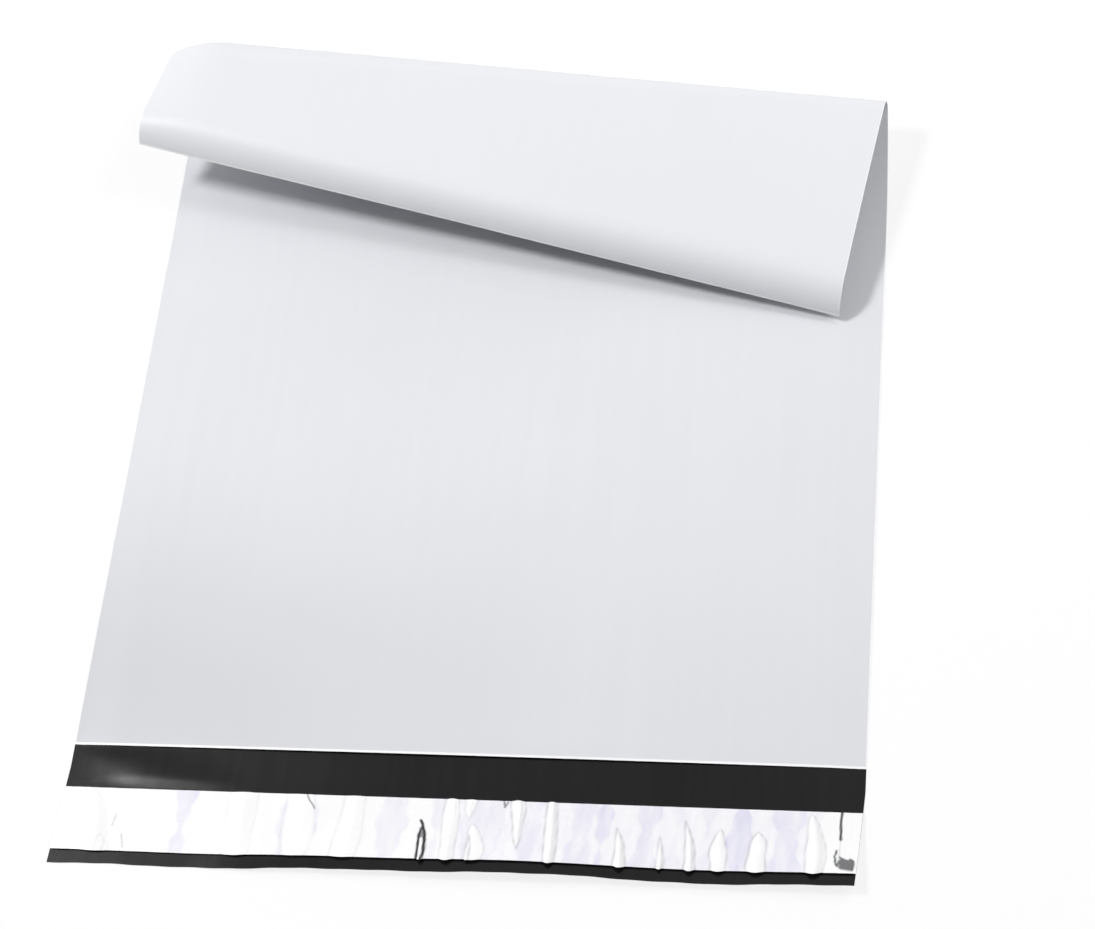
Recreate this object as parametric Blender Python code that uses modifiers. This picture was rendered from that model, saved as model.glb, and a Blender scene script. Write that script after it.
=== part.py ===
"""A poly mailer bag, lying on its back with its closed end curled over its front.

The bag is one piece of two-colour film, white outside and black inside. It is folded at the closed
end and sealed down both sides, and its back runs on past the mouth as a lip. The lip carries a strip
of adhesive, and over that a peel-off liner that has pulled into small cross puckers.

The bag is made flat first, as it comes off the roll: x runs across it, y from the mouth (0) to the
closed end, and the height n from the underside of the back panel. The sheet is then rolled up by
place(), which bends it without stretching it. The origin is the middle of the mouth, on the
underside. Lengths are in metres.
"""

from math import ceil, cos, hypot, pi, radians, sin

import bmesh
import bpy
from mathutils import Vector

NAME = "poly_mailer_bag"

# The film bag
BAG_WIDTH = 0.305
BAG_LENGTH = 0.394  # from the mouth to the closed end, laid flat
LIP_LENGTH = 0.0475  # the back panel past the mouth
FILM = 0.00006
POCKET_GAP = 0.0003  # between the panels of the empty bag
MOUTH_LOFT = 0.0009  # how much more the front panel stands off at the middle of the mouth
MOUTH_LOFT_LENGTH = 0.2  # the loft dies away over this distance from the mouth
SIDE_SEAL = 0.003  # width of the welded strip down each side
SEALED_GAP = 0.00003  # what is left of the pocket's height where the weld begins
SEAL_TAPER = 0.012  # the front panel comes down to the weld over this width
FOLD_ROUNDING = 0.45  # of the bag's thickness, at each edge of the closed end

# The curl, measured on the underside of the back panel
CURLED_LENGTH = 0.1517  # film past the line where it leaves the floor, on the centre line
SKEW = radians(5)  # between that line and the mouth
RISE_RADIUS = 0.099
RISE_ANGLE = radians(33.6)
CREST_RADIUS_LEFT = 0.0133  # the roll is wide at the left side of the bag and tight at the right
CREST_RADIUS_RIGHT = 0.0037
CREST_FALL = radians(3.2)  # how far below level the film leaves the crest
DROOP_LENGTH = 0.018  # the last stretch before the closed end bends down more
DROOP_RADIUS = 0.0165
END_CLEARANCE = 0.0043  # height of the lowest corner of the closed end
CORNER_SAG = 0.0091  # how far the left corner of the crest hangs below the rest of it
CORNER_SAG_WIDTH = 0.025

# The strips on the lip
BARE_BAND = 0.0176  # black film between the mouth and the liner
LINER_WIDTH = 0.025
LINER_FILM = 0.00005
ADHESIVE_WIDTH = 0.019
ADHESIVE_THICKNESS = 0.0002
ADHESIVE_END_GAP = 0.002  # from its ends to the sides of the bag
SEAT_GAP = 0.0003  # between two pieces that touch

# The lip lies flat at its left end. The rest has lifted at the free edge, in shallow waves
LIP_LIFT = 0.0052
LIP_WAVE = 0.0012
LIP_WAVE_PITCH = 0.125
LIP_WAVE_PEAK = 0.03  # where along the lip one wave is highest
LIFTED_FROM = 0.009  # the lift begins this far out from the mouth
LIFTED_PAST = -0.1  # and to the right of this place along the lip
LIFTED_RUN = 0.07  # it is complete after this much more of the lip
LIP_SWAY = 0.0024  # how far the free edge has moved to the left

# The puckers of the liner
PUCKER_HEIGHT = 0.0013
PUCKER_PITCH = 0.0165
PUCKER_HALF_WIDTH = 0.0042
PUCKER_SCATTER = 0.3  # how far one strays from its even place, as a share of the pitch
PUCKER_LEAN = 0.12  # how far one leans to either side, as a slope
PUCKER_LEAST = 0.35  # its height where it has nearly died away, as a share of the full height

# How finely the surfaces are divided
FLAT_ROW = 0.04
PANEL_COLUMN = 0.0255
LIP_COLUMN = 0.0075
LINER_COLUMN = 0.0019
LINER_ROWS = 6
RISE_STEPS = 8
CREST_STEPS = 12
RETURN_STEPS = 4
DROOP_STEPS = 6
SAG_STEPS = 5
OVERCUT = 0.01  # how far a cutter stands out of what it cuts

# Worked out from the sizes above
THICKNESS = 2 * FILM + POCKET_GAP
HALF_WIDTH = BAG_WIDTH / 2
LIFT_OFF = BAG_LENGTH - CURLED_LENGTH
LINER_MIDDLE = -(BARE_BAND + LINER_WIDTH / 2)
LIFTED_LENGTH = LIP_LENGTH - LIFTED_FROM
RISE_LENGTH = RISE_RADIUS * RISE_ANGLE
DROOP_START = BAG_LENGTH - DROOP_LENGTH
ALONG_ROLL = Vector((cos(SKEW), -sin(SKEW), 0))
ACROSS_ROLL = Vector((sin(SKEW), cos(SKEW), 0))
UP = Vector((0, 0, 1))


def smooth(t):
    """0 to 1 with level ends, as t runs from 0 to 1."""
    t = min(max(t, 0.0), 1.0)
    return t * t * (3 - 2 * t)


# The curl


def roll_distance(x, y):
    """How far a point of the flat sheet lies past the line where the film leaves the floor."""
    return x * sin(SKEW) + (y - LIFT_OFF) * cos(SKEW)


def crest_radius(x):
    """The radius of the crest, which changes evenly from one side of the bag to the other."""
    share = 0.5 + x / BAG_WIDTH
    return CREST_RADIUS_LEFT + (CREST_RADIUS_RIGHT - CREST_RADIUS_LEFT) * share


def crest_length(x):
    return crest_radius(x) * (pi + CREST_FALL - RISE_ANGLE)


def along_arc(start, bend, length):
    """Follows an arc from start = (run, height, slope angle). bend is one over its radius."""
    run, height, slope = start
    end_slope = slope + bend * length
    if abs(bend * length) < 1e-9:
        return run + length * cos(slope), height + length * sin(slope), slope
    run += (sin(end_slope) - sin(slope)) / bend
    height += (cos(slope) - cos(end_slope)) / bend
    return run, height, end_slope


def rolled(x, distance, return_bend):
    """(run, height, slope angle) of the film at that distance past the lift-off line."""
    if distance <= 0:
        return distance, 0.0, 0.0
    state = along_arc((0.0, 0.0, 0.0), 1 / RISE_RADIUS, min(distance, RISE_LENGTH))
    distance -= RISE_LENGTH
    if distance <= 0:
        return state
    state = along_arc(state, 1 / crest_radius(x), min(distance, crest_length(x)))
    distance -= crest_length(x)
    if distance <= 0:
        return state
    return along_arc(state, return_bend, distance)


def corner_sag(x, y):
    """How far the film hangs down at the left corner of the crest."""
    aside = max(0.0, 1 - (HALF_WIDTH + x) / CORNER_SAG_WIDTH)
    crest = RISE_LENGTH + crest_length(x) / 2
    distance, end = roll_distance(x, y), roll_distance(x, BAG_LENGTH)
    near_crest = smooth(distance / crest) * smooth((end - distance) / (end - crest))
    return CORNER_SAG * aside**2 * near_crest


def bent(x, y, n, return_bend):
    """Where a point of the flat sheet, n above its underside, goes for that bend of the return."""
    start_y = min(y, DROOP_START)
    run, height, slope = rolled(x, roll_distance(x, start_y), return_bend)
    along = x * cos(SKEW) - (start_y - LIFT_OFF) * sin(SKEW)
    point = Vector((0, LIFT_OFF, 0)) + along * ALONG_ROLL + run * ACROSS_ROLL + height * UP
    normal = cos(slope) * UP - sin(slope) * ACROSS_ROLL
    ahead = cos(SKEW) * (cos(slope) * ACROSS_ROLL + sin(slope) * UP) - sin(SKEW) * ALONG_ROLL
    turn = (y - start_y) / DROOP_RADIUS
    point += DROOP_RADIUS * (sin(turn) * ahead + (1 - cos(turn)) * normal)
    normal = cos(turn) * normal - sin(turn) * ahead
    return point + n * normal - corner_sag(x, y) * UP


def solve_return_bend():
    """The bend of the film after its crest that sets the lowest corner at END_CLEARANCE."""
    length = roll_distance(HALF_WIDTH, BAG_LENGTH) - RISE_LENGTH - crest_length(HALF_WIDTH)
    low, high = -pi / 4 / length, pi / 2 / length
    for _ in range(60):
        middle = (low + high) / 2
        if bent(HALF_WIDTH, BAG_LENGTH, 0, middle).z > END_CLEARANCE:
            low = middle
        else:
            high = middle
    return low


RETURN_BEND = solve_return_bend()


def place(x, y, n):
    """Where a point of the flat sheet, n above its underside, lies on the rolled bag."""
    return bent(x, y, n, RETURN_BEND)


# The uneven surfaces


def loft(x, y):
    """Height that the front panel gains at the mouth, and loses where it comes down to the welds."""
    from_seal = HALF_WIDTH - SIDE_SEAL - abs(x)
    across = 1 - min(abs(x) / (HALF_WIDTH - SIDE_SEAL), 1.0) ** 2
    lost = (POCKET_GAP - SEALED_GAP) * (1 - smooth(from_seal / SEAL_TAPER))
    return MOUTH_LOFT * across * smooth(1 - y / MOUTH_LOFT_LENGTH) - lost


def on_lip(x, y, n):
    """Where a point of the flat lip, n above its underside, lies once the lip has lifted."""
    wave = LIP_WAVE * cos(2 * pi * (x - LIP_WAVE_PEAK) / LIP_WAVE_PITCH)
    lift = smooth((x - LIFTED_PAST) / LIFTED_RUN) * (LIP_LIFT + wave)
    share = max(0.0, (-y - LIFTED_FROM) / LIFTED_LENGTH)
    drawn_in = 2 / 3 * lift**2 * share**3 / LIFTED_LENGTH  # keeps the lip as long as it was flat
    return Vector((x - LIP_SWAY * share, y + drawn_in, n + lift * share**2))


def puckers(x, y):
    """Height that the liner gains where it has pulled away from the adhesive in cross puckers."""
    height = 0.0
    count = int(BAG_WIDTH / PUCKER_PITCH)
    for i in range(count):
        centre = (i + 0.5 - count / 2 + PUCKER_SCATTER * sin(5.1 * i)) * PUCKER_PITCH
        centre += PUCKER_LEAN * sin(2.7 * i) * (y - LINER_MIDDLE)
        offset = abs(x - centre) / PUCKER_HALF_WIDTH
        if offset < 1:
            reach = 0.5 + 0.5 * sin(3.3 * i + 9 * (y - LINER_MIDDLE) / LINER_WIDTH)
            tall = PUCKER_LEAST + (1 - PUCKER_LEAST) * reach
            height += PUCKER_HEIGHT * tall * smooth(1 - offset)
    return height


# Shared helpers


def clear_scene():
    for ob in list(bpy.data.objects):
        bpy.data.objects.remove(ob, do_unlink=True)


def new_collection(name):
    collection = bpy.data.collections.new(name)
    bpy.context.scene.collection.children.link(collection)
    return collection


def new_material(name, colour, roughness, alpha=1.0):
    material = bpy.data.materials.new(name)
    material.use_nodes = True
    shader = material.node_tree.nodes["Principled BSDF"]
    shader.inputs["Base Color"].default_value = (*colour, 1)
    shader.inputs["Roughness"].default_value = roughness
    shader.inputs["Metallic"].default_value = 0.0
    shader.inputs["Alpha"].default_value = alpha
    return material


def new_object(name, bm, collection, materials=()):
    mesh = bpy.data.meshes.new(name)
    bm.to_mesh(mesh)
    bm.free()
    ob = bpy.data.objects.new(name, mesh)
    collection.objects.link(ob)
    for material in materials:
        mesh.materials.append(material)
    return ob


def box(low, high):
    """A box between two corners, as a bmesh."""
    bm = bmesh.new()
    bmesh.ops.create_cube(bm, size=1)
    for v in bm.verts:
        v.co = [(a + b) / 2 + (b - a) * c for a, b, c in zip(low, high, v.co)]
    return bm


def cut_away(ob, low, high, cutters):
    """Cuts the box between two corners out of ob."""
    cutter = new_object(f"{ob.name}_cutter", box(low, high), cutters)
    cutter.hide_render = True
    cutter.display_type = "WIRE"
    modifier = ob.modifiers.new(cutter.name, "BOOLEAN")
    modifier.operation = "DIFFERENCE"
    modifier.solver = "EXACT"
    modifier.object = cutter


def evaluated(ob):
    """The object's mesh with its modifiers applied, as a bmesh."""
    bpy.context.view_layer.update()
    graph = bpy.context.evaluated_depsgraph_get()
    mesh = bpy.data.meshes.new_from_object(ob.evaluated_get(graph))
    bm = bmesh.new()
    bm.from_mesh(mesh)
    bpy.data.meshes.remove(mesh)
    return bm


def slice_at(bm, point, normal, keep=lambda face: True):
    """Adds edges to the faces of bm where a plane cuts them."""
    faces = [f for f in bm.faces if keep(f)]
    edges = {e for f in faces for e in f.edges}
    verts = {v for f in faces for v in f.verts}
    geometry = [*verts, *edges, *faces]
    bmesh.ops.bisect_plane(bm, geom=geometry, dist=1e-7, plane_co=point, plane_no=normal)


def steps(low, high, size):
    """The inner division points that split low to high evenly into steps no longer than size."""
    count = ceil((high - low) / size)
    return [low + (high - low) * i / count for i in range(1, count)]


# The film bag


def flat_bag(collection, cutters):
    """The bag laid flat: one block, its mouth end cut down to the lip, and the pocket cut out."""
    bm = box((-HALF_WIDTH, -LIP_LENGTH, 0), (HALF_WIDTH, BAG_LENGTH, THICKNESS))
    fold = [e for e in bm.edges if all(v.co.y > BAG_LENGTH - FILM for v in e.verts)]
    fold = [e for e in fold if hypot(*(e.verts[0].co - e.verts[1].co)) > THICKNESS * 2]
    bmesh.ops.bevel(bm, geom=fold, offset=THICKNESS * FOLD_ROUNDING, segments=3, profile=0.5, affect="EDGES")
    bag = new_object("film_bag", bm, collection)
    inside = HALF_WIDTH - SIDE_SEAL
    mouth = (-LIP_LENGTH - OVERCUT, THICKNESS + OVERCUT)
    cut_away(bag, (-HALF_WIDTH - OVERCUT, mouth[0], FILM), (HALF_WIDTH + OVERCUT, 0, mouth[1]), cutters)
    cut_away(bag, (-inside, -OVERCUT, FILM), (inside, BAG_LENGTH - FILM, THICKNESS - FILM), cutters)
    return bag


def row_across_roll(bm, rise_share, crest_share, return_share):
    """Adds an edge along one straight line of the roll, that many shares of each arc along it."""

    def distance(x):
        past_rise = crest_share * crest_length(x)
        left_over = roll_distance(x, DROOP_START) - RISE_LENGTH - crest_length(x)
        return rise_share * RISE_LENGTH + past_rise + return_share * left_over

    fan = (distance(HALF_WIDTH) - distance(-HALF_WIDTH)) / BAG_WIDTH
    point = (0, LIFT_OFF + distance(0) / cos(SKEW), 0)
    slice_at(bm, point, (sin(SKEW) - fan, cos(SKEW), 0))


def divide_bag(bm):
    """Adds the rows and columns that the flat bag bends along."""
    across, along = (1, 0, 0), (0, 1, 0)
    flat_end = LIFT_OFF - HALF_WIDTH * abs(sin(SKEW)) / cos(SKEW)
    rows = [0, *steps(0, flat_end, FLAT_ROW), *steps(-LIP_LENGTH, 0, BARE_BAND / 2)]
    rows += [DROOP_START + DROOP_LENGTH * i / DROOP_STEPS for i in range(DROOP_STEPS)]
    for y in rows:
        slice_at(bm, (0, y, 0), along)
    for i in range(RISE_STEPS):
        row_across_roll(bm, i / RISE_STEPS, 0, 0)
    for i in range(CREST_STEPS):
        row_across_roll(bm, 1, i / CREST_STEPS, 0)
    for i in range(RETURN_STEPS):
        row_across_roll(bm, 1, 1, i / RETURN_STEPS)
    inside = HALF_WIDTH - SIDE_SEAL - SEAL_TAPER
    tapers = [side * (inside + SEAL_TAPER * share) for side in (-1, 1) for share in (0, 0.5, 1)]
    sag_columns = steps(-HALF_WIDTH, CORNER_SAG_WIDTH - HALF_WIDTH, CORNER_SAG_WIDTH / SAG_STEPS)
    for x in [*tapers, *sag_columns, *steps(-inside, inside, PANEL_COLUMN)]:
        slice_at(bm, (x, 0, 0), across)
    for x in steps(-HALF_WIDTH, HALF_WIDTH, LIP_COLUMN):
        slice_at(bm, (x, 0, 0), across, lambda face: face.calc_center_bounds().y < 0)


def colour_inside(bm):
    """The pocket's faces and the lip's upper face take the second material, the black film."""
    for face in bm.faces:
        centre = face.calc_center_bounds()
        upright = abs(face.normal.z) < 0.5
        inner = FILM / 2 < centre.z < THICKNESS - FILM / 2
        face.material_index = 1 if inner and not upright else 0


def film_bag(collection, cutters, white, black):
    flat = flat_bag(collection, cutters)
    bm = evaluated(flat)
    bpy.data.objects.remove(flat, do_unlink=True)
    divide_bag(bm)
    bm.normal_update()
    colour_inside(bm)
    for v in bm.verts:
        x, y, n = v.co
        if y < 0:
            v.co = on_lip(x, y, n)
            continue
        if n > FILM * 1.5:
            n += loft(x, y)
        v.co = place(x, y, n)
    return new_object("film_bag", bm, collection, [white, black])


# The strips on the lip


def strip(name, low, high, height, thickness, divisions, collection, material):
    """A thin strip between two corners of the flat lip, its underside at height(x, y) on it."""
    columns, rows = divisions
    bm = bmesh.new()
    bmesh.ops.create_grid(bm, x_segments=columns, y_segments=rows, size=0.5)
    for v in bm.verts:
        x = (low[0] + high[0]) / 2 + (high[0] - low[0]) * v.co.x
        y = (low[1] + high[1]) / 2 + (high[1] - low[1]) * v.co.y
        v.co = on_lip(x, y, height(x, y))
    ob = new_object(name, bm, collection, [material])
    solidify = ob.modifiers.new("film", "SOLIDIFY")
    solidify.thickness = thickness
    solidify.offset = 1
    return ob


def adhesive_strip(collection, material):
    half_length = HALF_WIDTH - ADHESIVE_END_GAP
    low = (-half_length, LINER_MIDDLE - ADHESIVE_WIDTH / 2)
    high = (half_length, LINER_MIDDLE + ADHESIVE_WIDTH / 2)

    def height(x, y):
        return FILM + SEAT_GAP

    divisions = (ceil(2 * half_length / LIP_COLUMN), LINER_ROWS)
    return strip("adhesive_strip", low, high, height, ADHESIVE_THICKNESS, divisions, collection, material)


def release_liner(collection, material):
    low = (-HALF_WIDTH, LINER_MIDDLE - LINER_WIDTH / 2)
    high = (HALF_WIDTH, LINER_MIDDLE + LINER_WIDTH / 2)

    def height(x, y):
        return FILM + 2 * SEAT_GAP + ADHESIVE_THICKNESS + puckers(x, y)

    divisions = (ceil(BAG_WIDTH / LINER_COLUMN), LINER_ROWS)
    return strip("release_liner", low, high, height, LINER_FILM, divisions, collection, material)


def main():
    clear_scene()
    parts = new_collection(NAME)
    cutters = new_collection("cutters")
    white = new_material("white_film", (0.80, 0.81, 0.83), 0.38)
    black = new_material("black_film", (0.012, 0.011, 0.013), 0.30)
    film_bag(parts, cutters, white, black)
    adhesive_strip(parts, new_material("adhesive", (0.72, 0.72, 0.70), 0.45))
    release_liner(parts, new_material("liner", (0.86, 0.86, 0.88), 0.12, alpha=0.75))
    for ob in parts.objects:
        ob.data.shade_smooth()
        ob.data.set_sharp_from_angle(angle=radians(35))


main()
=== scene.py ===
# %% [markdown]
# # A poly mailer bag, dressed for its picture
#
# The bag is one sheet of plastic film, white on one face and black on the other. It is folded once
# across, welded down both sides, and its back runs on past the mouth as a lip with a sticky strip
# under a peel-off liner. It lies on its back with the folded end curled over its front.
# Each step below says what the real piece is, then makes it. Lengths are in metres.

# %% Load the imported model
from math import cos, pi, radians, sin

import bpy
import numpy as np
from mathutils import Matrix, Vector


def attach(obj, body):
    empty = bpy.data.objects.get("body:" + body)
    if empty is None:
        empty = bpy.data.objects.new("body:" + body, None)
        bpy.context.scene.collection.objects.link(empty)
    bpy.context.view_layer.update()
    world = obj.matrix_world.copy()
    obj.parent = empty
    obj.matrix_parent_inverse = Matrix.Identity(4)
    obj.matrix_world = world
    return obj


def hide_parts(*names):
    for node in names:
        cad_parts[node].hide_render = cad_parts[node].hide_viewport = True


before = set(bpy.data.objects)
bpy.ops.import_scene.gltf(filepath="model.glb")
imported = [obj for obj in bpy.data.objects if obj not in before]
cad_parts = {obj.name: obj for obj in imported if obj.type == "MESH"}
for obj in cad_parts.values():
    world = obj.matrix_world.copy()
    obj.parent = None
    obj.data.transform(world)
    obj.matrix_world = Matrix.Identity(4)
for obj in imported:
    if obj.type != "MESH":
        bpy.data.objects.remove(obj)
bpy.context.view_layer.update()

# %% [markdown]
# ## The sizes of the bag
#
# The film is far thinner than anything around it, so its shape is set by a few lengths: the panels,
# the lip, and the line where the closed end leaves the floor and starts to curl. They are the sizes
# of the solid model, so that each dressed piece lies exactly where its solid is.

# %% The sizes of the bag
BAG_WIDTH = 0.305
BAG_LENGTH = 0.394
LIP_LENGTH = 0.0475
FILM = 0.00006
POCKET_GAP = 0.0003
MOUTH_LOFT = 0.0009
MOUTH_LOFT_LENGTH = 0.2
SIDE_SEAL = 0.003
SEALED_GAP = 0.00003
SEAL_TAPER = 0.012
THICKNESS = 2 * FILM + POCKET_GAP
HALF_WIDTH = BAG_WIDTH / 2

BARE_BAND = 0.0176
LINER_WIDTH = 0.025
LINER_FILM = 0.00005
LINER_MIDDLE = -(BARE_BAND + LINER_WIDTH / 2)
ADHESIVE_WIDTH = 0.019
ADHESIVE_THICKNESS = 0.0002
ADHESIVE_END_GAP = 0.002
SEAT_GAP = 0.0003

# %% [markdown]
# ## The curl
#
# Film bends easily but hardly stretches, so a curled sheet is made of arcs that run straight across
# it. A simulation could roll it up, but it would wander from the solid. Here the roll is written
# down instead: the film lifts off the floor on a wide arc, turns over on a tight one that is wider
# at the left than at the right, comes back nearly level, and droops over its last stretch.

# %% The sizes of the curl
LIFT_OFF = BAG_LENGTH - 0.1517
SKEW = radians(5)
RISE_RADIUS = 0.099
RISE_ANGLE = radians(33.6)
RISE_LENGTH = RISE_RADIUS * RISE_ANGLE
CREST_RADIUS_LEFT = 0.0133
CREST_RADIUS_RIGHT = 0.0037
CREST_FALL = radians(3.2)
DROOP_LENGTH = 0.018
DROOP_RADIUS = 0.0165
DROOP_START = BAG_LENGTH - DROOP_LENGTH
END_CLEARANCE = 0.0043
CORNER_SAG = 0.0091
CORNER_SAG_WIDTH = 0.025
ALONG_ROLL = np.array([cos(SKEW), -sin(SKEW), 0.0])
ACROSS_ROLL = np.array([sin(SKEW), cos(SKEW), 0.0])
UP = np.array([0.0, 0.0, 1.0])


# %% The curl as a function
def smooth(t):
    """0 to 1 with level ends: three t squared less two t cubed, held at 0 and 1 outside."""
    t = np.clip(t, 0.0, 1.0)
    return t * t * (3 - 2 * t)


def roll_distance(x, y):
    """How far a point of the flat sheet lies past the skewed line where the film leaves the floor."""
    return x * sin(SKEW) + (y - LIFT_OFF) * cos(SKEW)


def crest_radius(x):
    """Changes evenly from the left side of the bag to the right one."""
    return CREST_RADIUS_LEFT + (CREST_RADIUS_RIGHT - CREST_RADIUS_LEFT) * (0.5 + x / BAG_WIDTH)


def crest_length(x):
    """Radius times the angle that the crest turns through."""
    return crest_radius(x) * (pi + CREST_FALL - RISE_ANGLE)


def along_arc(run, height, slope, bend, length):
    """An arc from a point and slope: run gains (sin end - sin start) / bend, height likewise by cos."""
    end = slope + bend * length
    run = run + (np.sin(end) - np.sin(slope)) / bend
    height = height + (np.cos(slope) - np.cos(end)) / bend
    return run, height, end


def rolled(x, distance, return_bend):
    """Run, height and slope of the film, following the rise, the crest and the return in turn."""
    zero = np.zeros_like(distance)
    rise = np.clip(distance, 0, RISE_LENGTH)
    state = along_arc(np.minimum(distance, 0), zero, zero, 1 / RISE_RADIUS, rise)
    distance = distance - RISE_LENGTH
    state = along_arc(*state, 1 / crest_radius(x), np.clip(distance, 0, crest_length(x)))
    return along_arc(*state, return_bend, np.maximum(distance - crest_length(x), 0))


def corner_sag(x, y):
    """How far the left corner of the crest hangs down: a square falling to 0 inwards of the side."""
    aside = np.maximum(0.0, 1 - (HALF_WIDTH + x) / CORNER_SAG_WIDTH)
    crest = RISE_LENGTH + crest_length(x) / 2
    distance, end = roll_distance(x, y), roll_distance(x, BAG_LENGTH)
    return CORNER_SAG * aside**2 * smooth(distance / crest) * smooth((end - distance) / (end - crest))


def bent(x, y, n, return_bend):
    """Flat place (x, y, n) to rolled place: the point on the arcs, then n along the film's normal."""
    start_y = np.minimum(y, DROOP_START)
    run, height, slope = rolled(x, roll_distance(x, start_y), return_bend)
    along = x * cos(SKEW) - (start_y - LIFT_OFF) * sin(SKEW)
    run, height, slope, along = (a[..., None] for a in (run, height, slope, along))
    point = [0, LIFT_OFF, 0] + along * ALONG_ROLL + run * ACROSS_ROLL + height * UP
    normal = np.cos(slope) * UP - np.sin(slope) * ACROSS_ROLL
    ahead = cos(SKEW) * (np.cos(slope) * ACROSS_ROLL + np.sin(slope) * UP) - sin(SKEW) * ALONG_ROLL
    turn = ((y - start_y) / DROOP_RADIUS)[..., None]
    point = point + DROOP_RADIUS * (np.sin(turn) * ahead + (1 - np.cos(turn)) * normal)
    normal = np.cos(turn) * normal - np.sin(turn) * ahead
    return point + n[..., None] * normal - corner_sag(x, y)[..., None] * UP


# %% The bend of the return
# The lowest corner of the closed end hangs just clear of the bag. Halving an interval finds the bend.
def solve_return_bend():
    """Halves the interval of bends until the right end corner is END_CLEARANCE high."""
    corner = np.array([HALF_WIDTH]), np.array([BAG_LENGTH]), np.zeros(1)
    length = roll_distance(HALF_WIDTH, BAG_LENGTH) - RISE_LENGTH - crest_length(HALF_WIDTH)
    low, high = -pi / 4 / length, pi / 2 / length
    for _ in range(50):
        middle = (low + high) / 2
        if bent(*corner, middle)[0, 2] > END_CLEARANCE:
            low = middle
        else:
            high = middle
    return low


RETURN_BEND = solve_return_bend()
print(f"the return bends on a radius of {1000 / RETURN_BEND:.0f} mm")

# %% [markdown]
# ## The lip
#
# The lip is the free flap that closes the bag. The stiff liner on it holds it in shallow waves, and
# most of its free edge stands a few millimetres off the floor, while its left end lies flat.

# %% The lifted lip as a function
LIP_LIFT = 0.0052
LIP_WAVE = 0.0012
LIP_WAVE_PITCH = 0.125
LIP_WAVE_PEAK = 0.03
LIFTED_FROM = 0.009
LIFTED_PAST = -0.1
LIFTED_RUN = 0.07
LIP_SWAY = 0.0024
LIFTED_LENGTH = LIP_LENGTH - LIFTED_FROM

# A low slanting ridge in the bare film at the left, which catches a lamp
RIDGE_START, RIDGE_END = np.array([-0.151, -0.003]), np.array([-0.098, -0.0165])
RIDGE_HEIGHT = 0.0005
RIDGE_HALF_WIDTH = 0.0075
# It dies away over these lengths: past its end, from the bag's side, and at the mouth and the liner
RIDGE_END_RUN = 0.02
RIDGE_SIDE_RUN = 0.03
RIDGE_EDGE_RUN = 0.005


def slack(x, y):
    """The ridge: a bell curve of the distance from its line, dying away at the mouth and the liner."""
    along = (RIDGE_END - RIDGE_START) / np.linalg.norm(RIDGE_END - RIDGE_START)
    away = (x - RIDGE_START[0]) * -along[1] + (y - RIDGE_START[1]) * along[0]
    past = (x - RIDGE_END[0]) / RIDGE_END_RUN
    inside = (x + HALF_WIDTH) / RIDGE_SIDE_RUN
    bell = np.exp(-((away / RIDGE_HALF_WIDTH) ** 2))
    ends = smooth(1 - past) * smooth(inside)
    raised = RIDGE_HEIGHT * bell * ends
    return raised * smooth(-y / RIDGE_EDGE_RUN) * smooth((y + BARE_BAND) / RIDGE_EDGE_RUN)


def on_lip(x, y, n):
    """Flat place to lifted place: the height grows with the square of the distance from the mouth."""
    wave = LIP_WAVE * np.cos(2 * pi * (x - LIP_WAVE_PEAK) / LIP_WAVE_PITCH)
    lift = smooth((x - LIFTED_PAST) / LIFTED_RUN) * (LIP_LIFT + wave)
    share = np.maximum(0.0, (-y - LIFTED_FROM) / LIFTED_LENGTH)
    drawn_in = 2 / 3 * lift**2 * share**3 / LIFTED_LENGTH
    return np.stack([x - LIP_SWAY * share, y + drawn_in, n + lift * share**2], axis=-1)


def placed(x, y, n):
    """Points of the lip go by on_lip, and all others by the curl."""
    return np.where((y < 0)[..., None], on_lip(x, y, n), bent(x, y, n, RETURN_BEND))


# %% [markdown]
# ## A sheet as a grid
#
# Every piece here is a thin sheet, so one helper serves them all. It takes a grid of points and the
# same points' places on the flat sheet, joins them into faces, and keeps the flat places as a UV
# map, so that a pattern in a material follows the film round the curl. Solidify then gives the
# sheet its thickness on the inner side, which may take the next material.

# %% A helper that makes a sheet
def make_sheet(name, points, flat, thickness, materials, masks=None):
    """Vertex (i, j) of the grid is points[i, j]. Each face takes four neighbours, so a normal points
    to the left of a reader who walks along i and looks along j. Each mask becomes an attribute."""
    rows, columns = points.shape[:2]
    index = np.arange(rows * columns).reshape(rows, columns)
    corners = [index[:-1, :-1], index[1:, :-1], index[1:, 1:], index[:-1, 1:]]
    quads = np.stack(corners, axis=-1).reshape(-1, 4)
    mesh = bpy.data.meshes.new(name)
    mesh.from_pydata(points.reshape(-1, 3), [], quads.tolist())
    uv = mesh.uv_layers.new(name="flat_sheet")
    uv.data.foreach_set("uv", flat.reshape(-1, 2)[quads].astype(np.float32).ravel())
    for key, values in (masks or {}).items():
        attribute = mesh.attributes.new(key, "FLOAT", "POINT")
        attribute.data.foreach_set("value", values.astype(np.float32).ravel())
    for material in materials:
        mesh.materials.append(material)
    piece = bpy.data.objects.new(name, mesh)
    bpy.context.scene.collection.objects.link(piece)
    solidify = piece.modifiers.new("thickness", "SOLIDIFY")
    solidify.thickness = thickness
    solidify.offset = -1
    solidify.material_offset = len(materials) - 1
    graph = bpy.context.evaluated_depsgraph_get()
    thick = bpy.data.meshes.new_from_object(piece.evaluated_get(graph))
    piece.modifiers.clear()
    piece.data = thick
    bpy.data.meshes.remove(mesh)
    thick.name = name
    thick.shade_smooth()
    thick.set_sharp_from_angle(angle=radians(50))
    print(f"{name}: {len(thick.polygons)} faces")
    return piece


# %% [markdown]
# ## Helpers for materials
#
# The finishes are procedural: noise, ramps and small maths on the flat places of the sheet. Three
# short helpers keep the node code readable.

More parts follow.
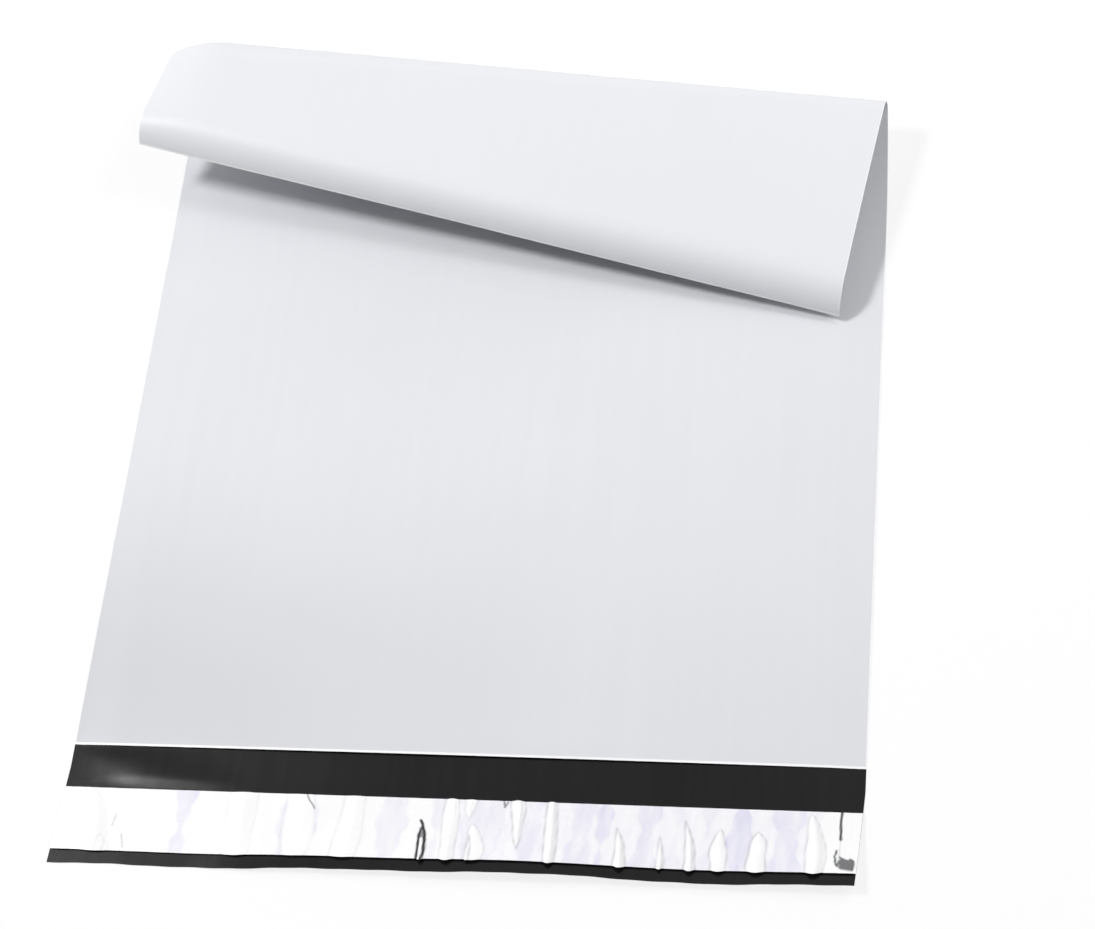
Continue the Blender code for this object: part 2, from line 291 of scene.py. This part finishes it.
# %% Helpers for materials
def new_material(name):
    """A material with its Principled shader and output. Returns it, its tree and the shader."""
    material = bpy.data.materials.new(name)
    material.use_nodes = True
    return material, material.node_tree, material.node_tree.nodes["Principled BSDF"]


def add_node(tree, kind, inputs=(), **settings):
    """Adds a node, sets its properties, and fills each named or numbered input with a value or link."""
    node = tree.nodes.new(kind)
    for key, value in settings.items():
        setattr(node, key, value)
    for key, value in dict(inputs).items():
        if isinstance(value, bpy.types.NodeSocket):
            tree.links.new(value, node.inputs[key])
        else:
            node.inputs[key].default_value = value
    return node


def tinted(tree, colour, factor, tint):
    """The colour moved towards a tint by a factor."""
    inputs = {0: factor, 6: colour, 7: tint}
    return add_node(tree, "ShaderNodeMix", inputs, data_type="RGBA").outputs[2]


# %% [markdown]
# ## The films' finish
#
# Mailer film is blown as a tube and drawn off in one direction, which leaves very faint streaks
# along it and a soft cloudiness. The effect is the same on the white face, the black face and the
# liner, so it is one node group that each material uses with its own strength.

# %% The film grain group
def film_grain_group():
    """Puts out a value near 0.5 that clouds and streaks shift, and a height for a bump."""
    group = bpy.data.node_groups.new("film_grain", "ShaderNodeTree")
    for name, default in (("Cloud scale", 9.0), ("Streak scale", 260.0), ("Streak share", 0.35)):
        socket = group.interface.new_socket(name, in_out="INPUT", socket_type="NodeSocketFloat")
        socket.default_value = default
    group.interface.new_socket("Flat place", in_out="INPUT", socket_type="NodeSocketVector")
    group.interface.new_socket("Value", in_out="OUTPUT", socket_type="NodeSocketFloat")
    group.interface.new_socket("Height", in_out="OUTPUT", socket_type="NodeSocketFloat")
    source = group.nodes.new("NodeGroupInput").outputs
    place, scale = source["Flat place"], source["Streak scale"]
    noise = "ShaderNodeTexNoise"
    clouds = add_node(group, noise, {"Vector": place, "Scale": source["Cloud scale"], "Detail": 3.0})
    squeeze = {0: place, 1: (1.0, 0.03, 1.0)}
    stretched = add_node(group, "ShaderNodeVectorMath", squeeze, operation="MULTIPLY")
    drawn = {"Vector": stretched.outputs[0], "Scale": scale, "Detail": 2.0}
    streaks = add_node(group, noise, drawn)
    shares = {"Factor": source["Streak share"], "A": clouds.outputs[0], "B": streaks.outputs[0]}
    mixed = add_node(group, "ShaderNodeMix", shares)
    pebble = add_node(group, noise, {"Vector": place, "Scale": 1400.0, "Detail": 2.0})
    both = {0: streaks.outputs[0], 1: pebble.outputs[0]}
    height = add_node(group, "ShaderNodeMath", both, operation="ADD")
    end = group.nodes.new("NodeGroupOutput")
    group.links.new(mixed.outputs[0], end.inputs["Value"])
    group.links.new(height.outputs[0], end.inputs["Height"])
    return group


FILM_GRAIN = film_grain_group()


def with_grain(tree, shader, colours, roughnesses, bump, **grain):
    """Links the grain group: colours and roughnesses are the two ends of its value's range.

    Returns the colour, the bump node and the place on the flat sheet."""
    place = add_node(tree, "ShaderNodeUVMap", uv_map="flat_sheet")
    group = add_node(tree, "ShaderNodeGroup", node_tree=FILM_GRAIN)
    tree.links.new(place.outputs[0], group.inputs["Flat place"])
    for name, value in grain.items():
        group.inputs[name.replace("_", " ").capitalize()].default_value = value
    spread = {0: group.outputs["Value"], 1: 0.3, 2: 0.7}
    factor = add_node(tree, "ShaderNodeMapRange", spread).outputs[0]
    colour = tinted(tree, colours[0], factor, colours[1])
    spread.update({3: roughnesses[0], 4: roughnesses[1]})
    rough = add_node(tree, "ShaderNodeMapRange", spread)
    depth = {"Strength": 0.5, "Distance": bump, "Height": group.outputs["Height"]}
    dents = add_node(tree, "ShaderNodeBump", depth)
    tree.links.new(colour, shader.inputs["Base Color"])
    tree.links.new(rough.outputs[0], shader.inputs["Roughness"])
    tree.links.new(dents.outputs[0], shader.inputs["Normal"])
    return colour, dents, place.outputs[0]


# %% [markdown]
# ### White outside, black inside
#
# The white is a cool, slightly grey white with a satin surface. A fine bright line along the mouth,
# the closed end and the sides is a painted highlight, for the light that the cut and folded edges
# catch. The welds down the sides are pressed in a little. The white is painted lighter on the curl, a
# painted highlight, and darker towards the mouth, most at its left, a painted shade. The black face
# is a deep charcoal, a bit glossier than the white one.

# %% Lines that follow the sheet
def near(tree, distance, middle, full, none):
    """1 where the distance is within full of the middle, falling to 0 at none."""
    off = add_node(tree, "ShaderNodeMath", {0: distance, 1: middle}, operation="SUBTRACT")
    off = add_node(tree, "ShaderNodeMath", {0: off.outputs[0]}, operation="ABSOLUTE")
    fall = {0: off.outputs[0], 1: full, 2: none, 3: 1.0, 4: 0.0}
    return add_node(tree, "ShaderNodeMapRange", fall, interpolation_type="SMOOTHSTEP").outputs[0]


def largest(tree, *masks):
    """The largest of some masks."""
    total = masks[0]
    for other in masks[1:]:
        total = add_node(tree, "ShaderNodeMath", {0: total, 1: other}, operation="MAXIMUM").outputs[0]
    return total


# %% The two faces of the film
FOLD_WALK = LIP_LENGTH + BAG_LENGTH
MOUTH_WALK = LIP_LENGTH + 2 * BAG_LENGTH

# Bands across the white face, which carry painted highlights and a painted shade: a place on the
# walk, how far from it the band is full, and how far from it none is left
# Painted highlights along the mouth and the fold
MOUTH_LINE = (MOUTH_WALK, 0.0005, 0.0009)
FOLD_LINE = (FOLD_WALK, 0.0006, 0.0011)
# Where the painted highlight on the curl lies
CURL_HIGHLIGHT_BAND = (FOLD_WALK - 0.075, 0.055, 0.085)
# Where the painted shade towards the mouth lies
MOUTH_SHADE_BAND = (MOUTH_WALK, 0.02, 0.14)

# The same for the bands down both sides, where the place is a distance from the bag's middle
# A painted highlight along both cut sides
CUT_LINE = (HALF_WIDTH, 0.0001, 0.0004)
WELD = (HALF_WIDTH, SIDE_SEAL - 0.0002, SIDE_SEAL + 0.0003)
WELD_DEPTH = 1.2  # in units of the grain's height

# The tints of those bands, which are painted highlights and a painted shade, and how much of one
# shows: the painted shade most at the left
# The tint of the painted highlight along the edges
EDGE_HIGHLIGHT_WHITE = (0.97, 0.975, 0.98, 1)
# The tint and share of the painted highlight on the curl
CURL_HIGHLIGHT_WHITE = (0.865, 0.873, 0.905, 1)
CURL_HIGHLIGHT_SHARE = 0.43
# The tint of the painted shade towards the mouth, and where it is strongest
MOUTH_SHADE_WHITE = (0.59, 0.592, 0.62, 1)
SHADE_LEFT, SHADE_RIGHT = -0.13, 0.05
SHADE_MOST, SHADE_LEAST = 0.72, 0.2


def white_film():
    """Satin white, with painted highlights on the curl and edges and painted shade near the mouth."""
    material, tree, shader = new_material("white_film")
    shader.inputs["Specular IOR Level"].default_value = 0.3
    whites = [(0.752, 0.762, 0.796, 1), (0.78, 0.79, 0.823, 1)]
    colour, dents, place = with_grain(tree, shader, whites, (0.36, 0.46), 0.00002)
    aside, walk, _ = add_node(tree, "ShaderNodeSeparateXYZ", {0: place}).outputs
    from_middle = add_node(tree, "ShaderNodeMath", {0: aside}, operation="ABSOLUTE").outputs[0]
    mouth, fold = near(tree, walk, *MOUTH_LINE), near(tree, walk, *FOLD_LINE)
    cut, weld = near(tree, from_middle, *CUT_LINE), near(tree, from_middle, *WELD)
    # A painted highlight on the curl
    curled = {0: near(tree, walk, *CURL_HIGHLIGHT_BAND), 1: CURL_HIGHLIGHT_SHARE}
    share = add_node(tree, "ShaderNodeMath", curled, operation="MULTIPLY")
    with_curl_highlight = tinted(tree, colour, share.outputs[0], CURL_HIGHLIGHT_WHITE)
    # A painted shade towards the mouth, strongest at its left
    leftness = {0: aside, 1: SHADE_LEFT, 2: SHADE_RIGHT, 3: SHADE_MOST, 4: SHADE_LEAST}
    left = add_node(tree, "ShaderNodeMapRange", leftness)
    low = near(tree, walk, *MOUTH_SHADE_BAND)
    shade_share = add_node(tree, "ShaderNodeMath", {0: low, 1: left.outputs[0]}, operation="MULTIPLY")
    with_painted_shade = tinted(tree, with_curl_highlight, shade_share.outputs[0], MOUTH_SHADE_WHITE)
    # A painted highlight along the mouth, the fold and the cut sides
    bright = tinted(tree, with_painted_shade, largest(tree, mouth, fold, cut), EDGE_HIGHLIGHT_WHITE)
    tree.links.new(bright, shader.inputs["Base Color"])
    pressed = {0: weld, 1: -WELD_DEPTH, 2: dents.inputs["Height"].links[0].from_socket}
    sunk = add_node(tree, "ShaderNodeMath", pressed, operation="MULTIPLY_ADD")
    tree.links.new(sunk.outputs[0], dents.inputs["Height"])
    return material


def black_film():
    """Near black, and glossier than the white face."""
    material, tree, shader = new_material("black_film")
    shader.inputs["Specular IOR Level"].default_value = 0.37
    blacks = [(0.0045, 0.0038, 0.0044, 1), (0.0105, 0.0088, 0.0088, 1)]
    with_grain(tree, shader, blacks, (0.17, 0.23), 0.00002)
    return material


WHITE_FILM, BLACK_FILM = white_film(), black_film()

# %% [markdown]
# ## The film bag
#
# The whole bag is one sheet. A walk along it starts at the free edge of the lip, runs up the back,
# turns round the fold at the closed end, and comes back down the front to the mouth. So the sheet is
# one grid: its rows follow that walk, its columns run across the bag.

# %% The rows of the walk
def stretch(low, high, step):
    """Even places from low up to, but not including, high."""
    return np.linspace(low, high, max(2, round(abs(high - low) / step)), endpoint=False)


LIP_STEP, FLAT_STEP, CURL_STEP, FRONT_STEP = 0.0014, 0.008, 0.0022, 0.0036
CURL_MARGIN = 0.02  # the close rows begin this far before the film leaves the floor
FOLD_RADIUS = THICKNESS / 2
FOLD_TURN = np.linspace(0, pi, 7)
curl_start = LIFT_OFF - CURL_MARGIN
fold_start = BAG_LENGTH - FOLD_RADIUS
lip_y = stretch(-LIP_LENGTH, 0, LIP_STEP)
flat_y = stretch(0, curl_start, FLAT_STEP)
back_y = np.concatenate([lip_y, flat_y, stretch(curl_start, fold_start, CURL_STEP)])
fold_y = fold_start + FOLD_RADIUS * np.sin(FOLD_TURN)
front_curl_y = stretch(fold_start, curl_start, CURL_STEP)[1:]
front_y = np.concatenate([front_curl_y, stretch(curl_start, 0, FRONT_STEP), [0.0]])
row_y = np.concatenate([back_y, fold_y, front_y])
fold_side = (1 - np.cos(FOLD_TURN)) / 2
row_side = np.concatenate([np.zeros(len(back_y)), fold_side, np.ones(len(front_y))])
steps = np.hypot(np.diff(row_y), THICKNESS * np.diff(row_side))
row_walk = np.concatenate([[0.0], np.cumsum(steps)])
print(len(row_y), "rows, a walk of", round(1000 * row_walk[-1]), "mm")


# %% The unevenness of the panels and of the cut edge
# Height, or reach, for each unit of a sum of sines. What is added to a sum keeps it above 0.
UNDULATION = 0.00009
EDGE_WANDER = 0.00016


def loft(x, y):
    """The front panel stands off the back at the middle of the mouth, and comes down at the welds."""
    from_seal = HALF_WIDTH - SIDE_SEAL - np.abs(x)
    across = 1 - np.minimum(np.abs(x) / (HALF_WIDTH - SIDE_SEAL), 1.0) ** 2
    lost = (POCKET_GAP - SEALED_GAP) * (1 - smooth(from_seal / SEAL_TAPER))
    return MOUTH_LOFT * across * smooth(1 - y / MOUTH_LOFT_LENGTH) - lost


def undulation(x, y):
    """Long, low waves that film keeps from being handled: a few sines that cross at odd angles."""
    waves = np.sin(38 * x + 21 * y + 0.6) + 0.7 * np.sin(-27 * x + 49 * y + 2.0)
    waves = waves + 0.45 * np.sin(83 * x - 36 * y + 4.1) + 0.3 * np.sin(61 * x + 112 * y)
    return UNDULATION * (waves + 2.45)


def edge_wander(x, y):
    """How far the cut edge of the lip runs out, about 0.6 mm at most: sines, growing past the liner."""
    waves = np.sin(70 * x + 1) + 0.7 * np.sin(173 * x + 2) + 0.5 * np.sin(411 * x)
    inner = BARE_BAND + LINER_WIDTH
    return EDGE_WANDER * (2.2 + waves) * np.clip((-y - inner) / (LIP_LENGTH - inner), 0, 1)


# %% The film bag
PANEL_COLUMNS = 117
columns = np.concatenate([
    np.linspace(-HALF_WIDTH, -HALF_WIDTH + SIDE_SEAL, 3)[:-1],
    np.linspace(-HALF_WIDTH + SIDE_SEAL, HALF_WIDTH - SIDE_SEAL, PANEL_COLUMNS),
    np.linspace(HALF_WIDTH - SIDE_SEAL, HALF_WIDTH, 3)[1:],
])
X, Y = np.meshgrid(columns, row_y)
side = row_side[:, None] + 0 * X
height = side * (THICKNESS + loft(X, Y)) + undulation(X, Y) * (Y > 0) + slack(X, Y) * (Y < 0)
flat_places = np.stack([X, row_walk[:, None] + 0 * X], axis=-1)
shape = placed(X, Y - edge_wander(X, Y), height)
film_bag = make_sheet("film", shape, flat_places, FILM, [WHITE_FILM, BLACK_FILM])
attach(film_bag, "root")
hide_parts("film_bag")

# %% [markdown]
# ## The adhesive
#
# A strip of hot-melt glue runs along the lip on its black side. It is milky and slightly uneven.

# %% The adhesive
ADHESIVE_STEP = 0.0019


def adhesive_finish():
    """Milky, with clouds finer than the film's."""
    material, tree, shader = new_material("adhesive")
    milky = [(0.66, 0.655, 0.63, 1), (0.76, 0.755, 0.74, 1)]
    with_grain(tree, shader, milky, (0.25, 0.5), 0.00004, cloud_scale=60.0)
    return material


def strip_grid(half_length, width, step):
    """Flat places of a strip on the lip, rows running from the free edge's side to the mouth's."""
    across = np.linspace(half_length, -half_length, round(2 * half_length / step))
    along = np.linspace(LINER_MIDDLE - width / 2, LINER_MIDDLE + width / 2, round(width / step))
    return np.meshgrid(across, along)


X, Y = strip_grid(HALF_WIDTH - ADHESIVE_END_GAP, ADHESIVE_WIDTH, ADHESIVE_STEP)
top = FILM + SEAT_GAP + ADHESIVE_THICKNESS + 0 * X
places = np.stack([X, Y], axis=-1)
finish = [adhesive_finish()]
adhesive = make_sheet("adhesive", on_lip(X, Y, top), places, ADHESIVE_THICKNESS, finish)
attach(adhesive, "root")
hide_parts("adhesive_strip")

# %% [markdown]
# ## The release liner
#
# The liner is a pale plastic ribbon that covers the glue until the bag is used. Glue and ribbon were
# rolled together, and since then the lip has shrunk a little more than the ribbon, so the ribbon has
# come loose in narrow puckers that run across it. Most start at the free edge and end in a point,
# like a tear. Between them it clings to the glue, and there it looks faintly lavender.
# A cloth simulation would put the puckers anywhere, so each one is given as a short tuple, and one
# formula turns it into a hump, and into the masks that the material uses for its outline.

# %% Where the puckers are
# Middle at the edge it starts from, half width, reach across the ribbon as a share of its width,
# lean of its tip, bluntness (1 is a spike, 5 an arch), height, and how dark the painted shade of
# its outline is.
# Lengths are in millimetres.
FREE_EDGE_PUCKERS = [
    (-134.7, 5.4, 0.96, -6.0, 3.5, 0.5, 0.16),
    (-133.2, 1.8, 0.26, -0.5, 4.0, 0.3, 0.20),
    (-80.0, 5.6, 1.70, 0.6, 4.0, 0.5, 0.18),
    (-37.6, 4.8, 1.60, 0.8, 4.0, 0.5, 0.22),
    (-7.3, 1.7, 0.60, -2.4, 2.4, 1.1, 0.30),
    (1.9, 3.0, 1.50, -2.4, 4.0, 1.1, 0.36),
    (10.3, 1.0, 0.42, -1.4, 2.0, 0.8, 0.60),
    (12.2, 3.6, 0.60, -2.0, 3.0, 0.6, 0.30),
    (40.6, 2.2, 1.80, -5.5, 4.0, 1.0, 0.62),
    (67.0, 2.4, 0.62, -3.6, 1.5, 1.1, 0.55),
    (81.4, 1.4, 0.50, -1.3, 1.8, 0.9, 0.50),
    (92.6, 2.2, 0.78, -4.2, 1.5, 1.2, 0.60),
    (102.4, 3.1, 0.66, -0.8, 3.6, 0.9, 0.55),
    (116.6, 3.4, 0.64, -1.3, 4.5, 0.9, 0.60),
    (137.5, 3.5, 0.95, -2.8, 4.0, 1.2, 0.42),
]
MOUTH_EDGE_PUCKERS = [
    (-57.5, 6.2, 1.50, 1.0, 4.0, 0.3, 0.14),
    (25.2, 2.6, 0.78, 3.0, 1.9, 1.1, 0.55),
    (7.4, 2.2, 0.30, 0.5, 2.0, 0.5, 0.25),
]

# Stretches that cling to the glue: from, to, and how strongly it shows
CLINGING = [
    (-105.6, -100.3, 0.6), (-64.0, -51.0, 0.5), (-26.0, -16.5, 0.4), (-5.6, -1.6, 0.45),
    (3.0, 139.0, 0.25), (5.6, 21.0, 0.5), (28.6, 36.0, 0.6), (46.0, 55.0, 0.6), (56.5, 60.5, 0.9),
    (71.0, 79.0, 0.7), (83.6, 87.5, 0.5), (95.6, 98.6, 0.5), (105.4, 112.8, 0.9), (121.0, 131.5, 0.7),
]

# Sharp creases, darkened with painted shade: a line through places as (millimetres along, share
# of the way across), its half width and the darkness of its painted shade
CREASES = [
    ([(-129.2, 0.42), (-129.9, 0.60)], 0.2, 0.3),
    ([(-125.3, 0.74), (-123.6, 0.95)], 0.2, 0.35),
    ([(-56.0, 0.00), (-55.1, 0.07), (-52.0, 0.22)], 0.22, 0.6),
    ([(19.7, 0.00), (20.5, 0.10), (21.4, 0.02)], 0.24, 0.7),
    ([(-10.3, 0.36), (-9.3, 0.42), (-8.9, 0.48), (-7.9, 0.56), (-7.3, 0.68), (-6.7, 0.88)], 0.36, 1.0),
    ([(-6.7, 0.88), (-7.0, 1.0)], 0.36, 1.0),
    ([(-9.4, 0.49), (-9.9, 0.60), (-9.4, 0.78), (-8.9, 1.0)], 0.38, 1.0),
    ([(-9.1, 0.55), (-8.7, 0.61)], 0.7, 0.75),
    ([(145.1, 0.00), (144.9, 0.13), (145.6, 0.44)], 0.34, 0.95),
    ([(145.6, 0.44), (145.8, 0.72)], 0.2, 0.2),
    ([(144.7, 0.62), (144.2, 0.72), (144.8, 0.84), (145.4, 0.88), (146.1, 0.80)], 0.28, 0.85),
    ([(146.9, 0.81), (148.4, 0.85), (150.2, 0.83)], 1.0, 0.84),
    ([(147.3, 0.88), (150.1, 0.90)], 1.0, 0.84),
    ([(145.9, 0.73), (147.3, 0.76), (149.1, 0.79), (149.9, 0.76), (151.1, 0.79)], 0.24, 0.88),
    ([(151.1, 0.79), (151.3, 0.87), (150.9, 0.95)], 0.26, 0.88),
]


# %% Puckers and masks from those places
# The grey outline round each pucker is painted shade
PUCKER_OUTLINE = 0.5  # how far the grey outline spreads, in millimetres
CLINGING_FADE = 1.6  # width of the soft edge of a clinging stretch, in millimetres
RIPPLE = 0.00004  # half the height of the ribbon's faint unevenness, in metres


def hump(x, across, middle, half, reach, lean, bluntness):
    """How raised the ribbon is, 0 to 1, and the distance in mm from the hump's outline.

    The half width shrinks from the starting edge to the tip by a power of 1 - share of reach to the
    power of bluntness, with a slight wobble. The section is (1 - u squared) squared, for u the
    share of the half width."""
    share = np.clip(across / reach, 0, 1)
    centre = middle + lean * share**1.4 + 0.12 * half * np.sin(5 * share + middle)
    wide = half * (1 - share**bluntness) ** 0.8 * (1 + 0.09 * np.sin(9 * share + 2 * middle)) + 1e-3
    u = np.abs(x - centre) / wide
    raised = np.maximum(0, 1 - u**2) ** 2 * np.minimum(1, wide / half)
    beside = np.abs(u - 1) * wide
    beyond = np.maximum(0, across - reach) * 1000 * LINER_WIDTH
    return raised * (beyond == 0), np.hypot(beside, beyond)


def crease_distance(x, across, start, end):
    """Distance in mm from a straight crease between two places on the ribbon."""
    place = np.stack([x, 1000 * LINER_WIDTH * across], axis=-1)
    start, end = (np.array([e[0], 1000 * LINER_WIDTH * e[1]]) for e in (start, end))
    along = np.clip((place - start) @ (end - start) / np.dot(end - start, end - start), 0, 1)
    return np.linalg.norm(place - start - along[..., None] * (end - start), axis=-1)


def liner_relief(x, y):
    """Height gained in metres, and the masks lifted, outline, clinging and crease, each 0 to 1."""
    x, across = 1000 * x, (-y - BARE_BAND) / LINER_WIDTH
    height, lifted, outline = np.zeros_like(x), np.zeros_like(x), np.zeros_like(x)
    pucker_sides = ((FREE_EDGE_PUCKERS, 1 - across), (MOUTH_EDGE_PUCKERS, across))
    for puckers, from_edge in pucker_sides:
        for middle, half, reach, lean, bluntness, tall, dark in puckers:
            raised, beside = hump(x, from_edge, middle, half, reach, lean, bluntness)
            height = np.maximum(height, 0.001 * tall * raised)
            lifted = np.maximum(lifted, np.minimum(1, 4 * raised))
            # The painted shade along the outline varies in strength
            varying_shade = dark * (0.75 + 0.25 * np.sin(2.6 * x + 13 * across))
            outline = np.maximum(outline, varying_shade * np.exp(-((beside / PUCKER_OUTLINE) ** 2)))
    clinging = np.zeros_like(x)
    for low, high, strength in CLINGING:
        wander = 1.3 * np.sin(6 * across + low) + 0.6 * np.sin(17 * across + 3 * high)
        edge = np.minimum(x - low + wander, high - x + wander)
        clinging = np.maximum(clinging, strength * smooth(0.5 + edge / CLINGING_FADE))
    crease = np.zeros_like(x)
    for line, half, dark in CREASES:
        for start, end in zip(line, line[1:]):
            away = crease_distance(x, across, start, end)
            crease = np.maximum(crease, dark * smooth((2 * half - away) / (1.1 * half)))
    ripple = RIPPLE * (np.sin(0.45 * x + 3 * across) * np.sin(0.19 * x - 5 * across) + 1)
    return height + ripple, lifted, outline, clinging * (1 - lifted), crease


# %% The liner's finish
def mask(tree, name):
    """The value of one of the sheet's own attributes."""
    return add_node(tree, "ShaderNodeAttribute", attribute_name=name).outputs["Fac"]


def liner_finish():
    """White where loose, lavender where it clings, and painted shade: grey on outlines, dark in creases.
    """
    material, tree, shader = new_material("liner")
    whites = [(0.95, 0.95, 0.957, 1), (0.972, 0.972, 0.976, 1)]
    colour, _, place = with_grain(tree, shader, whites, (0.22, 0.32), 0.00001, cloud_scale=70.0)
    squeeze = {0: place, 1: (1, 0.3, 1)}
    drawn = add_node(tree, "ShaderNodeVectorMath", squeeze, operation="MULTIPLY").outputs[0]
    clouds = add_node(tree, "ShaderNodeTexNoise", {"Vector": drawn, "Scale": 240.0, "Detail": 1.5})
    spread = {0: clouds.outputs[0], 1: 0.3, 2: 0.65, 3: 0.45, 4: 1.0}
    patchy = add_node(tree, "ShaderNodeMapRange", spread)
    shares = {0: patchy.outputs[0], 1: mask(tree, "clinging")}
    cling = add_node(tree, "ShaderNodeMath", shares, operation="MULTIPLY")
    colour = tinted(tree, colour, cling.outputs[0], (0.71, 0.695, 0.85, 1))
    colour = tinted(tree, colour, mask(tree, "lifted"), (0.975, 0.975, 0.975, 1))
    # Painted shade, grey, along the outlines of the puckers
    colour = tinted(tree, colour, mask(tree, "outline"), (0.42, 0.41, 0.46, 1))
    # Painted shade, near black, in the creases
    colour = tinted(tree, colour, mask(tree, "crease"), (0.03, 0.03, 0.035, 1))
    tree.links.new(colour, shader.inputs["Base Color"])
    return material


# %% The liner
# A pucker also bulges out past the liner's free edge, by this share of its height
PUCKER_BULGE = 0.9
LINER_STEP = 0.00043
X, Y = strip_grid(HALF_WIDTH, LINER_WIDTH, LINER_STEP)
relief, lifted, outline, clinging, crease = liner_relief(X, Y)
top = FILM + 2 * SEAT_GAP + ADHESIVE_THICKNESS + LINER_FILM + relief
bulged = Y - PUCKER_BULGE * relief * np.clip((-Y - BARE_BAND) / LINER_WIDTH, 0, 1) ** 3
masks = {"lifted": lifted, "outline": outline, "clinging": clinging, "crease": crease}
places = np.stack([X, Y], axis=-1)
liner = make_sheet("liner", on_lip(X, bulged, top), places, LINER_FILM, [liner_finish()], masks)
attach(liner, "root")
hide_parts("release_liner")

# %% [markdown]
# ## The floor
#
# The bag lies on a plain white table. The floor is matt. To the camera and in reflections it
# glows, so that it reads as white while the bag's soft shadow still shows on it.

# %% The floor
FLOOR_GLOW = 0.8
FLOOR_HALF = 3.0
FLOOR_Z = -0.0002


def floor_finish():
    """Matt white that glows to the camera and in reflections."""
    material, tree, shader = new_material("floor")
    shader.inputs["Base Color"].default_value = (0.97, 0.97, 0.97, 1)
    shader.inputs["Roughness"].default_value = 1.0
    shader.inputs["Specular IOR Level"].default_value = 0.0
    path = add_node(tree, "ShaderNodeLightPath")
    glow = add_node(tree, "ShaderNodeEmission", {"Color": (1, 1, 1, 1), "Strength": 1.0})
    seen = largest(tree, path.outputs["Is Camera Ray"], path.outputs["Is Glossy Ray"])
    share = add_node(tree, "ShaderNodeMath", {0: seen, 1: FLOOR_GLOW}, operation="MULTIPLY").outputs[0]
    both = {0: share, 1: shader.outputs[0], 2: glow.outputs[0]}
    mixed = add_node(tree, "ShaderNodeMixShader", both)
    tree.links.new(mixed.outputs[0], tree.nodes["Material Output"].inputs["Surface"])
    return material


sides = [(-1, -1), (1, -1), (1, 1), (-1, 1)]
corners = [(FLOOR_HALF * across, FLOOR_HALF * along, FLOOR_Z) for across, along in sides]
mesh = bpy.data.meshes.new("floor")
mesh.from_pydata(corners, [], [(0, 1, 2, 3)])
mesh.materials.append(floor_finish())
floor = bpy.data.objects.new("floor", mesh)
bpy.context.scene.collection.objects.link(floor)

# %% [markdown]
# ## Light
#
# Two soft lamps and a pale sky light the bag. The larger lamp is off to the left, in line with the
# end of the curl, so that the shadow under that end stays narrow. The smaller one is at the right
# and behind, so that the open right end of the curl falls into shade. Both keep clear of the place
# that the glossy black film mirrors to the camera. The sky is dimmer in front, which darkens the
# droop that faces there, and to the camera it is plain white.

# %% The lamps and the sky
LAMPS_AIM_Y = 0.15


def soft_lamp(name, place, target, size, power):
    """An area lamp at a place, turned to look at its target."""
    data = bpy.data.lights.new(name, "AREA")
    data.shape = "RECTANGLE"
    data.size, data.size_y = size
    data.energy = power
    lamp = bpy.data.objects.new(name, data)
    lamp.location = place
    lamp.rotation_euler = (Vector(target) - Vector(place)).to_track_quat("-Z", "Y").to_euler()
    bpy.context.scene.collection.objects.link(lamp)


def lamp_at(name, turn, tilt, share, size, reach):
    """A lamp tilt degrees from straight up, turned from +Y to the right. Adds share to a level white."""
    t, u = radians(tilt), radians(turn)
    place = Vector((reach * sin(t) * sin(u), LAMPS_AIM_Y + reach * sin(t) * cos(u), reach * cos(t)))
    soft_lamp(name, place, (0, LAMPS_AIM_Y, 0), size, share * pi**2 * reach**2 / cos(t))


def pale_sky(front, behind):
    """Its strength is front at the horizon in front, rises to behind overhead, and stays so past it."""
    world = bpy.data.worlds.new("sky")
    world.use_nodes = True
    tree = world.node_tree
    towards = add_node(tree, "ShaderNodeTexCoord").outputs["Generated"]
    ahead = add_node(tree, "ShaderNodeSeparateXYZ", {0: towards}).outputs[1]
    lit = {0: ahead, 1: -1.0, 2: 0.0, 3: front, 4: behind}
    lit = add_node(tree, "ShaderNodeMapRange", lit).outputs[0]
    seen = add_node(tree, "ShaderNodeLightPath").outputs["Is Camera Ray"]
    strength = add_node(tree, "ShaderNodeMix", {"Factor": seen, "A": lit, "B": 1.0}).outputs[0]
    tree.nodes["Background"].inputs["Color"].default_value = (1, 1, 1, 1)
    tree.links.new(strength, tree.nodes["Background"].inputs["Strength"])
    bpy.context.scene.world = world


lamp_at("right_lamp", 60, 35, 0.18, (0.3, 0.25), reach=0.9)
lamp_at("left_lamp", -86, 33, 0.48, (0.45, 0.35), reach=2.2)
pale_sky(0.05, 0.5)

# %% [markdown]
# ## The camera
#
# The picture was taken from above and a little to the right of the bag, with the camera turned on
# its side a bit. The angles were found by matching the bag's edges.

# %% The camera
ELEVATION, AZIMUTH, ROLL = radians(60.2), radians(20.94), radians(-17.77)
CAMERA_DISTANCE = 1.014
CAMERA_LENS = 83.64
CAMERA_SENSOR = 36
LOOK_AT = Vector((0.02184, 0.12532, 0.0))
back = Vector((sin(AZIMUTH) * cos(ELEVATION), -cos(AZIMUTH) * cos(ELEVATION), sin(ELEVATION)))
level = Vector((0, 0, 1)).cross(back).normalized()
upward = back.cross(level)
right = cos(ROLL) * level + sin(ROLL) * upward
upward = cos(ROLL) * upward - sin(ROLL) * level
camera = bpy.data.objects.new("camera", bpy.data.cameras.new("camera"))
camera.data.sensor_width = CAMERA_SENSOR
camera.data.lens = CAMERA_LENS
camera.data.clip_start = 0.05
turned = Matrix((right, upward, back)).transposed().to_4x4()
camera.matrix_world = Matrix.Translation(LOOK_AT + CAMERA_DISTANCE * back) @ turned
bpy.context.scene.collection.objects.link(camera)
bpy.context.scene.camera = camera
bpy.context.scene.view_settings.view_transform = "Standard"
